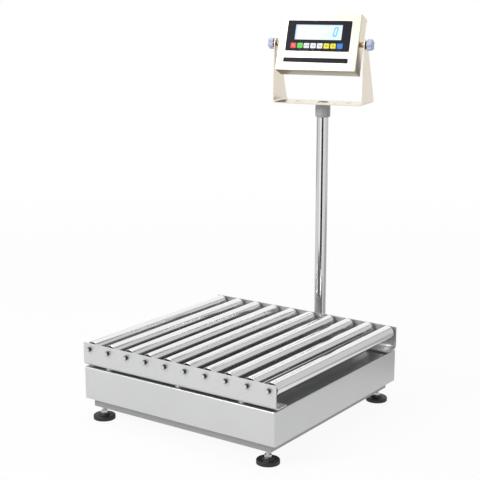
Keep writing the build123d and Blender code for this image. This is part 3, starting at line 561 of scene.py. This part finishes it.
# Small marks of the display: a state bar at its foot and a corner mark
marks = {"bars": [(-19.0, 8.6, 10.0, 0.8), (60.5, 12.4, 3.0, 1.2), (60.5, 10.0, 3.0, 0.8), (61.0, 40.0, 1.6, 1.6)]}
markShape = bmesh.new()
for right, up, length, width in marks["bars"]:
    markPlace, markTurn = panelMatrix(right, up, glassTop + 0.02)
    addBar(markShape, length, width, 0.05, markPlace)
markInk = Paint("markInk", (0.25, 0.75, 0.85), 0.0, 0.3)
markCloud = markInk.noise(markInk.place, 500.0, 2.0, 0.5)
markInk.glow(markInk.mix(markCloud, (0.25, 0.78, 0.92), (0.40, 0.90, 0.98)), 0.85)
makePiece("display_marks", markShape, markInk.material, "housing")

# Generic signs on the keys: bars and dots in a contrasting ink
keySigns = {
    1: ("light", [(0.0, 2.2, 5.6, 0.9), (1.2, -2.4, 6.6, 1.1)]),
    2: ("dark", [(-3.6, 0.0, 1.6, 3.0), (0.0, 0.0, 3.4, 1.0), (3.6, 0.0, 1.6, 3.0)]),
    3: ("dark", [(-4.2, 0.0, 2.6, 2.6), (0.0, 0.0, 2.6, 1.1), (4.2, 0.0, 2.6, 2.6)]),
    4: ("dark", [(-2.8, 0.0, 2.2, 1.1), (1.6, 1.2, 4.8, 0.9), (1.6, -1.2, 4.8, 0.9)]),
    5: ("dark", [(-2.6, 0.0, 1.1, 3.2), (1.4, 1.0, 4.6, 0.9), (1.4, -1.0, 4.6, 0.9)]),
    6: ("dark", [(-1.8, 0.0, 2.4, 2.4), (1.8, 0.0, 2.4, 2.4)]),
    7: ("dark", [(-3.4, -0.8, 2.2, 1.2), (0.6, 0.0, 4.2, 2.4), (4.0, 0.8, 1.4, 1.2)]),
    8: ("dark", [(-2.4, 0.6, 1.3, 3.0), (1.2, 0.0, 4.4, 1.2), (1.2, 2.0, 4.4, 0.8)]),
}
inkLight = Paint("inkLight", (0.85, 0.62, 0.60), 0.0, 0.45)
lightGrain = inkLight.noise(inkLight.place, 900.0, 2.0, 0.5)
inkLight.shade(lightGrain, (0.85, 0.62, 0.60), 0.1)
inkDark = Paint("inkDark", (0.12, 0.13, 0.18), 0.0, 0.45)
darkGrain = inkDark.noise(inkDark.place, 900.0, 2.0, 0.5)
inkDark.shade(darkGrain, (0.12, 0.13, 0.18), 0.2)
for number, (ink, bars) in keySigns.items():
    keyNode = f"panel_key_{number}"
    low, high = reach(keyNode, across, panelMiddle)
    middle = (low + high) / 2 / mm
    low, high = reach(keyNode, upward, panelMiddle)
    level = (low + high) / 2 / mm
    top = reach(keyNode, facing, panelMiddle)[1] / mm
    signShape = bmesh.new()
    for right, up, length, width in bars:
        signPlace, signTurn = panelMatrix(middle + right, level + up, top + 0.01)
        addBar(signShape, length, width, 0.06, signPlace)
    inkPaint = inkLight if ink == "light" else inkDark
    makePiece(f"key_sign_{number}", signShape, inkPaint.material, f"key_{number}")
print("key signs made")

# Tiny lamps and pointers printed under the keys
pointers = {"below": 11.2, "size": 1.6}
filmTop = (reach("panel_films", facing)[1] - sheetFront) / mm
lampShape = bmesh.new()
pointerShape = bmesh.new()
for number in range(1, 9):
    low, high = reach(f"panel_key_{number}", across, panelMiddle)
    middle = (low + high) / 2 / mm
    low, high = reach(f"panel_key_{number}", upward, panelMiddle)
    under = (low + high) / 2 / mm - pointers["below"]
    pointerPlace, pointerTurn = panelMatrix(middle, under, filmTop + 0.01)
    if number == 1:
        addBar(lampShape, pointers["size"] * 1.8, pointers["size"] * 0.8, 0.06, pointerPlace, 0.45)
    else:
        addBar(pointerShape, pointers["size"], pointers["size"] * 0.5, 0.06, pointerPlace, 0.3)
lampInk = Paint("lampInk", (0.55, 0.02, 0.01), 0.0, 0.35)
lampGrain = lampInk.noise(lampInk.place, 900.0, 2.0, 0.5)
lampInk.shade(lampGrain, (0.55, 0.02, 0.01), 0.2)
pointerInk = Paint("pointerInk", (0.36, 0.36, 0.40), 0.0, 0.45)
pointerGrain = pointerInk.noise(pointerInk.place, 900.0, 2.0, 0.5)
pointerInk.shade(pointerGrain, (0.36, 0.36, 0.40), 0.2)
makePiece("panel_lamp", lampShape, lampInk.material, "housing")
makePiece("panel_pointers", pointerShape, pointerInk.material, "housing")
print("panel marks made")

# Plain floor, white to the camera and in reflections, and it keeps the object's shadow
floorFinish = {"size": 60.0, "white": 0.93, "colour": (0.93, 0.93, 0.93)}
floorShape = bmesh.new()
bmesh.ops.create_grid(floorShape, x_segments=1, y_segments=1, size=floorFinish["size"] / 2)
bmesh.ops.translate(floorShape, verts=floorShape.verts, vec=(0, 0, -0.0005))
floorMesh = bpy.data.meshes.new("studioFloor")
floorShape.to_mesh(floorMesh)
floorShape.free()
floor = bpy.data.objects.new("studioFloor", floorMesh)
scene.collection.objects.link(floor)
floorPaint = Paint("studioFloor", floorFinish["colour"], 0.0, 0.9)
floorTree = floorPaint.tree
floorGlow = floorTree.nodes.new("ShaderNodeEmission")
floorMix = floorTree.nodes.new("ShaderNodeMixShader")
rayKind = floorTree.nodes.new("ShaderNodeLightPath")
cameraRay = Wire(floorPaint, rayKind.outputs["Is Camera Ray"])
glossyRay = Wire(floorPaint, rayKind.outputs["Is Glossy Ray"])
throughRay = Wire(floorPaint, rayKind.outputs["Is Transmission Ray"])
shown = (cameraRay + glossyRay + throughRay).math("MINIMUM", 1.0)
floorX = floorPaint.split(floorPaint.place, "X")
floorY = floorPaint.split(floorPaint.place, "Y")
farAway = (floorX * floorX + floorY * floorY).math("SQRT").smooth(1.2, 4.0)
floorPaint.plug(floorMix.inputs[0], shown * (floorFinish["white"] + farAway * (1.0 - floorFinish["white"])))
floorTree.links.new(floorPaint.shader.outputs[0], floorMix.inputs[1])
floorTree.links.new(floorGlow.outputs[0], floorMix.inputs[2])
floorTree.links.new(floorMix.outputs[0], floorPaint.output.inputs["Surface"])
floor.data.materials.append(floorPaint.material)

# World: soft grey light, white where the camera or a reflection sees it
air = {"light": 0.40}
world = bpy.data.worlds.new("studioAir")
scene.world = world
world.use_nodes = True
airTree = world.node_tree
airTree.nodes.clear()
airLight = airTree.nodes.new("ShaderNodeBackground")
airLight.inputs["Color"].default_value = (1.0, 1.0, 1.0, 1.0)
airLight.inputs["Strength"].default_value = air["light"]
airWhite = airTree.nodes.new("ShaderNodeBackground")
airWhite.inputs["Color"].default_value = (1.0, 1.0, 1.0, 1.0)
airWhite.inputs["Strength"].default_value = 1.0
airMix = airTree.nodes.new("ShaderNodeMixShader")
airOutput = airTree.nodes.new("ShaderNodeOutputWorld")
airRay = airTree.nodes.new("ShaderNodeLightPath")


def airMath(operation, first, second):
    node = airTree.nodes.new("ShaderNodeMath")
    node.operation = operation
    for socket, value in zip(node.inputs, (first, second)):
        if isinstance(value, float):
            socket.default_value = value
        else:
            airTree.links.new(value, socket)
    return node.outputs[0]


# only a first reflection sees white, so that the gaps between the polished tubes stay dark
firstBounce = airMath("LESS_THAN", airRay.outputs["Glossy Depth"], 1.5)
seenInMetal = airMath("MULTIPLY", airRay.outputs["Is Glossy Ray"], firstBounce)
seenWhite = airMath("MAXIMUM", airRay.outputs["Is Camera Ray"], seenInMetal)
airAll = airMath("MAXIMUM", seenWhite, airRay.outputs["Is Transmission Ray"])
airTree.links.new(airAll, airMix.inputs[0])
airTree.links.new(airLight.outputs[0], airMix.inputs[1])
airTree.links.new(airWhite.outputs[0], airMix.inputs[2])
airTree.links.new(airMix.outputs[0], airOutput.inputs["Surface"])


def addLamp(name, place, target, size, power):
    lampData = bpy.data.lights.new(name, "AREA")
    lampData.shape = "SQUARE"
    lampData.size = size
    lampData.energy = power
    lamp = bpy.data.objects.new(name, lampData)
    lamp.location = place
    lamp.rotation_euler = (Vector(target) - Vector(place)).to_track_quat("-Z", "Y").to_euler()
    scene.collection.objects.link(lamp)
    return lamp


lamps = {"key": ((-1.5, -3.0, 2.5), 1.2, 76.0), "top": ((-0.3, 0.4, 3.2), 2.0, 26.0)}
for lampName, (lampPlace, lampSize, lampPower) in lamps.items():
    addLamp(lampName + "Lamp", lampPlace, (0.0, 0.0, 0.3), lampSize, lampPower)


def addCard(name, brightness, shape):
    # a studio card that only polished metal shows, as a bright, grey or dark streak
    paint = Paint(name, (0.0, 0.0, 0.0), 0.0, 1.0, Specular_IOR_Level=0.0)
    depth = Wire(paint, paint.tree.nodes.new("ShaderNodeLightPath").outputs["Glossy Depth"])
    paint.glow(paint.mix(depth > 1.5, (1.0, 1.0, 1.0), (0.15, 0.15, 0.15)), brightness)
    mesh = bpy.data.meshes.new(name)
    shape.to_mesh(mesh)
    shape.free()
    card = bpy.data.objects.new(name, mesh)
    scene.collection.objects.link(card)
    card.data.materials.append(paint.material)
    card.visible_camera = False
    card.visible_shadow = False
    card.visible_diffuse = False


def skyCard(name, brightness, azimuths, elevations, distance):
    # part of a sphere round the origin, between two azimuths and two elevations, in degrees
    shape = bmesh.new()
    turnFrom, turnTo = [math.radians(angle) for angle in azimuths]
    low, high = [math.radians(angle) for angle in elevations]
    spots = [(turnFrom, low), (turnTo, low), (turnTo, high), (turnFrom, high)]
    corners = []
    for turn, lift in spots:
        flat = distance * math.cos(lift)
        corners.append(shape.verts.new((flat * math.cos(turn), flat * math.sin(turn), distance * math.sin(lift))))
    shape.faces.new(corners)
    bmesh.ops.subdivide_edges(shape, edges=shape.edges, cuts=4, use_grid_fill=True)
    for vertex in shape.verts:
        vertex.co = vertex.co.normalized() * distance
    addCard(name, brightness, shape)


def floorCard(name, brightness, start, bearings, near, far, height=0.002):
    # a fan that lies on the floor, between two bearings from a place, in degrees
    shape = bmesh.new()
    corners = []
    for bearing, reachOut in ((0, near), (0, far), (1, far), (1, near)):
        angle = math.radians(bearings[bearing])
        corners.append(shape.verts.new((start.x + reachOut * math.cos(angle), start.y + reachOut * math.sin(angle), height)))
    shape.faces.new(corners)
    addCard(name, brightness, shape)


# Behind the deck: a bright card on the left, a dark slit, and a grey card on the right and on the floor
middle = Vector((0.0, 0.0, 0.0))
skyCard("brightCard", 1.22, (78.0, 135.0), (2.0, 60.0), 3.4)
skyCard("slitCard", 0.12, (74.0, 78.0), (18.0, 60.0), 3.4)
skyCard("greyCard", 0.80, (30.0, 74.0), (0.0, 60.0), 3.4)
floorCard("greyFloorCard", 0.55, middle, (28.0, 76.0), 0.75, 3.4)
skyCard("leftCard", 0.52, (150.0, 192.0), (0.0, 34.0), 3.4)

# Towards the camera, on the floor: a dark wedge between two bright ones, for the line down the column
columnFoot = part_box("column_tube")
columnPlace = (columnFoot[0] + columnFoot[1]) / 2
cameraBearing = math.degrees(math.atan2(view["place"][1] - columnPlace.y, view["place"][0] - columnPlace.x))
floorCard("lineCard", 0.0, columnPlace, (cameraBearing - 17.0, cameraBearing + 17.0), 1.3, 14.0)
floorCard("leftWedgeCard", 1.35, columnPlace, (cameraBearing - 50.0, cameraBearing - 17.0), 1.3, 14.0)
floorCard("rightWedgeCard", 1.20, columnPlace, (cameraBearing + 17.0, cameraBearing + 40.0), 1.3, 14.0)
print("studio made")
